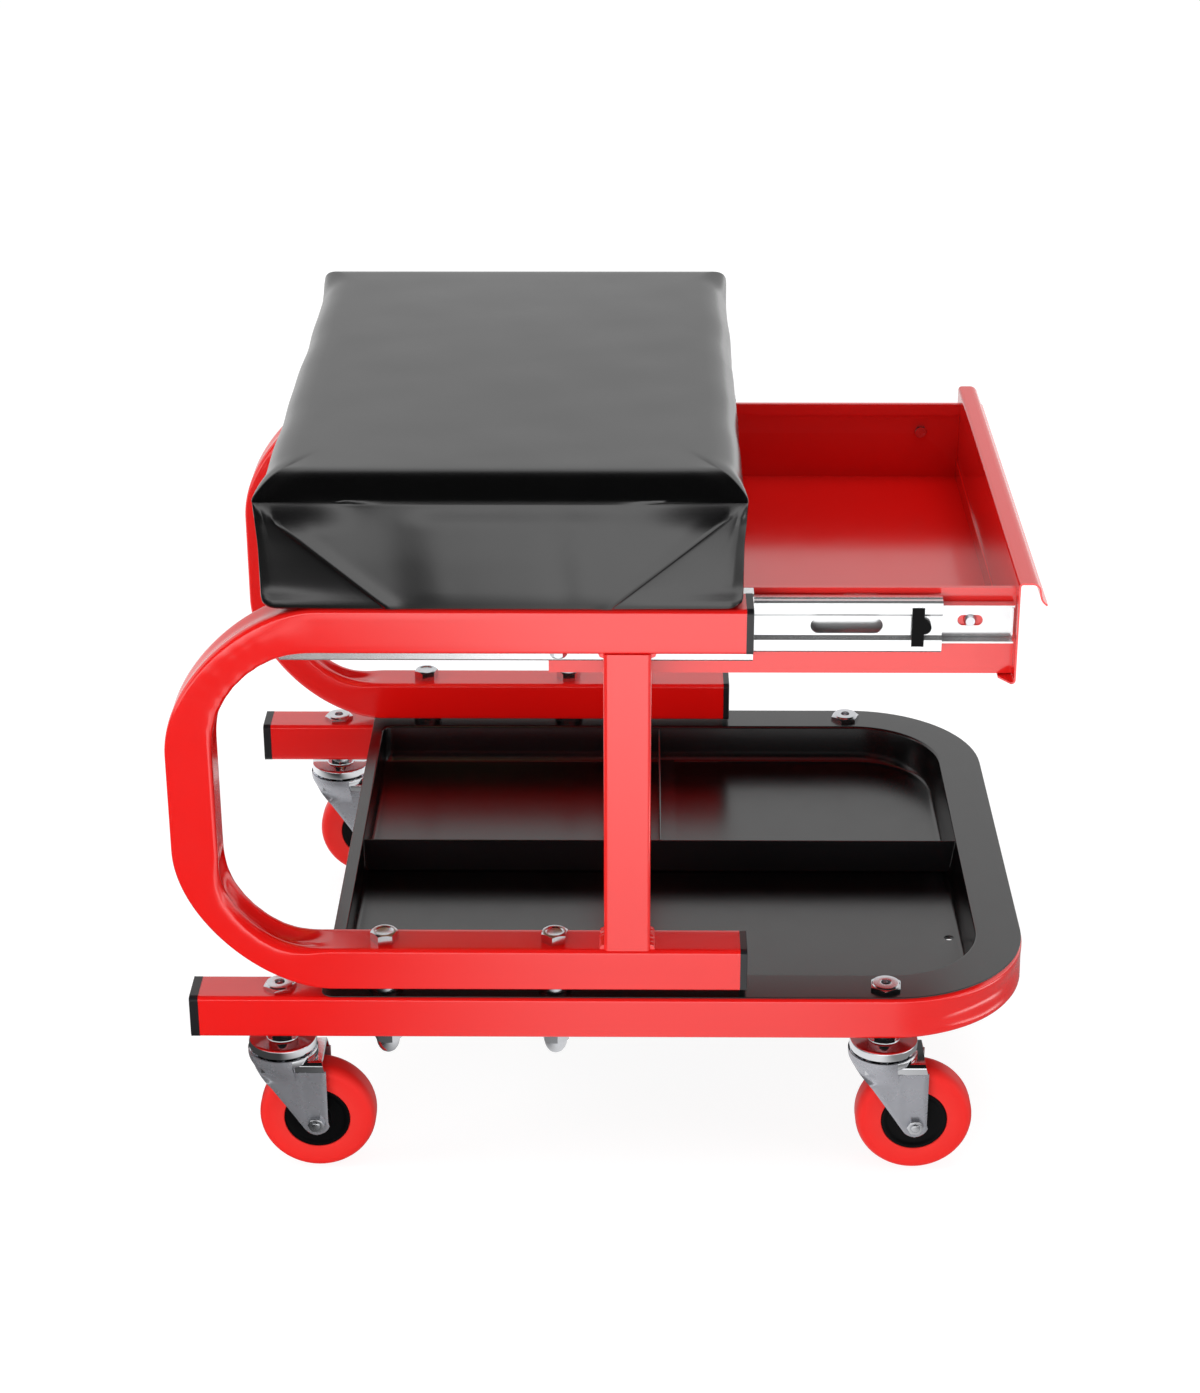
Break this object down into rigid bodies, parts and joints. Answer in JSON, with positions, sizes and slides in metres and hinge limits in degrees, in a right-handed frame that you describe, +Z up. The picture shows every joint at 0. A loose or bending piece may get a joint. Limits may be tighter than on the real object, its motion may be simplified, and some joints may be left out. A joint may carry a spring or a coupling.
{
  "type": "creeper seat",
  "caption": "Low rolling work seat with a padded top, a pull-out drawer under it, a divided parts tray and swivel casters.",
  "frame": {"origin": "on the floor, under the middle of the overall length and width", "axes": "+X is the way the drawer opens, +Y is the right side, +Z is up"},
  "size_m": [0.468, 0.391, 0.4085],
  "materials": {
    "red_paint": "glossy red powder coat",
    "black_paint": "semi-gloss black powder coat",
    "black_plastic": "black moulded plastic",
    "plywood": "bare plywood",
    "foam": "open upholstery foam",
    "vinyl": "smooth semi-gloss black vinyl",
    "red_tyre": "satin red polyurethane",
    "chrome_plate": "bright plated steel",
    "zinc_plate": "bright zinc-plated steel"
  },
  "bodies": {
    "frame": {"base_frame": "red_paint", "base_end_caps": "black_plastic", "tray": "black_paint", "tray_long_divider": "black_paint", "tray_short_divider": "black_paint", "left_side_frame": "red_paint", "right_side_frame": "red_paint", "left_post": "red_paint", "right_post": "red_paint", "side_frame_caps": "black_plastic", "frame_bolts": "zinc_plate", "frame_spacers": "zinc_plate", "frame_dome_nuts": "zinc_plate", "seat_board": "plywood", "seat_foam": "foam", "seat_cover": "vinyl", "seat_bolts": "zinc_plate", "seat_tee_nuts": "zinc_plate", "left_slide_outer": "zinc_plate", "right_slide_outer": "zinc_plate", "slide_frame_screws": "zinc_plate", "stem_nuts": "zinc_plate", "front_left_stem": "chrome_plate", "front_right_stem": "chrome_plate", "rear_left_stem": "chrome_plate", "rear_right_stem": "chrome_plate"},
    "drawer": {"drawer_box": "red_paint", "drawer_front": "red_paint", "left_slide_inner": "zinc_plate", "right_slide_inner": "zinc_plate", "slide_drawer_screws": "zinc_plate"},
    "left_middle": {"left_slide_middle": "zinc_plate", "left_slide_clip": "black_plastic"},
    "right_middle": {"right_slide_middle": "zinc_plate", "right_slide_clip": "black_plastic"},
    "left_outer_cage": {"left_outer_cage": "zinc_plate"},
    "right_outer_cage": {"right_outer_cage": "zinc_plate"},
    "left_inner_cage": {"left_inner_cage": "zinc_plate"},
    "right_inner_cage": {"right_inner_cage": "zinc_plate"},
    "front_left_swivel": {"front_left_fork": "chrome_plate", "front_left_axle": "zinc_plate", "front_left_balls": "zinc_plate"},
    "front_left_wheel": {"front_left_hub": "black_plastic", "front_left_tyre": "red_tyre"},
    "front_right_swivel": {"front_right_fork": "chrome_plate", "front_right_axle": "zinc_plate", "front_right_balls": "zinc_plate"},
    "front_right_wheel": {"front_right_hub": "black_plastic", "front_right_tyre": "red_tyre"},
    "rear_left_swivel": {"rear_left_fork": "chrome_plate", "rear_left_axle": "zinc_plate", "rear_left_balls": "zinc_plate"},
    "rear_left_wheel": {"rear_left_hub": "black_plastic", "rear_left_tyre": "red_tyre"},
    "rear_right_swivel": {"rear_right_fork": "chrome_plate", "rear_right_axle": "zinc_plate", "rear_right_balls": "zinc_plate"},
    "rear_right_wheel": {"rear_right_hub": "black_plastic", "rear_right_tyre": "red_tyre"}
  },
  "joints": [
    {"name": "drawer_slide", "type": "slide", "parent": "frame", "child": "drawer", "axis": [1, 0, 0], "range_m": [-0.137, 0.048]},
    {"name": "left_middle_slide", "type": "slide", "parent": "frame", "child": "left_middle", "axis": [1, 0, 0], "range_m": [-0.0991, 0.0348]},
    {"name": "right_middle_slide", "type": "slide", "parent": "frame", "child": "right_middle", "axis": [1, 0, 0], "range_m": [-0.0676, 0.0237]},
    {"name": "left_outer_cage_slide", "type": "slide", "parent": "frame", "child": "left_outer_cage", "axis": [1, 0, 0], "range_m": [-0.0496, 0.0174]},
    {"name": "right_outer_cage_slide", "type": "slide", "parent": "frame", "child": "right_outer_cage", "axis": [1, 0, 0], "range_m": [-0.0338, 0.0119]},
    {"name": "left_inner_cage_slide", "type": "slide", "parent": "frame", "child": "left_inner_cage", "axis": [1, 0, 0], "range_m": [-0.1181, 0.0414]},
    {"name": "right_inner_cage_slide", "type": "slide", "parent": "frame", "child": "right_inner_cage", "axis": [1, 0, 0], "range_m": [-0.1023, 0.0359]},
    {"name": "front_left_turn", "type": "hinge", "parent": "frame", "child": "front_left_swivel", "pos_m": [0.152, -0.1755, 0.07], "axis": [0, 0, 1], "continuous": true},
    {"name": "front_left_roll", "type": "hinge", "parent": "front_left_swivel", "child": "front_left_wheel", "pos_m": [0.17, -0.1755, 0.0325], "axis": [0, 1, 0], "continuous": true},
    {"name": "front_right_turn", "type": "hinge", "parent": "frame", "child": "front_right_swivel", "pos_m": [0.152, 0.1755, 0.07], "axis": [0, 0, 1], "continuous": true},
    {"name": "front_right_roll", "type": "hinge", "parent": "front_right_swivel", "child": "front_right_wheel", "pos_m": [0.17, 0.1755, 0.0325], "axis": [0, 1, 0], "continuous": true},
    {"name": "rear_left_turn", "type": "hinge", "parent": "frame", "child": "rear_left_swivel", "pos_m": [-0.181, -0.1755, 0.07], "axis": [0, 0, 1], "continuous": true},
    {"name": "rear_left_roll", "type": "hinge", "parent": "rear_left_swivel", "child": "rear_left_wheel", "pos_m": [-0.163, -0.1755, 0.0325], "axis": [0, 1, 0], "continuous": true},
    {"name": "rear_right_turn", "type": "hinge", "parent": "frame", "child": "rear_right_swivel", "pos_m": [-0.181, 0.1755, 0.07], "axis": [0, 0, 1], "continuous": true},
    {"name": "rear_right_roll", "type": "hinge", "parent": "rear_right_swivel", "child": "rear_right_wheel", "pos_m": [-0.163, 0.1755, 0.0325], "axis": [0, 1, 0], "continuous": true}
  ],
  "couplings": [
    {"joint": "left_middle_slide", "follows": "drawer_slide", "ratio": 0.72263},
    {"joint": "right_middle_slide", "follows": "drawer_slide", "ratio": 0.4927},
    {"joint": "left_outer_cage_slide", "follows": "drawer_slide", "ratio": 0.36131},
    {"joint": "right_outer_cage_slide", "follows": "drawer_slide", "ratio": 0.24635},
    {"joint": "left_inner_cage_slide", "follows": "drawer_slide", "ratio": 0.86131},
    {"joint": "right_inner_cage_slide", "follows": "drawer_slide", "ratio": 0.74635}
  ]
}
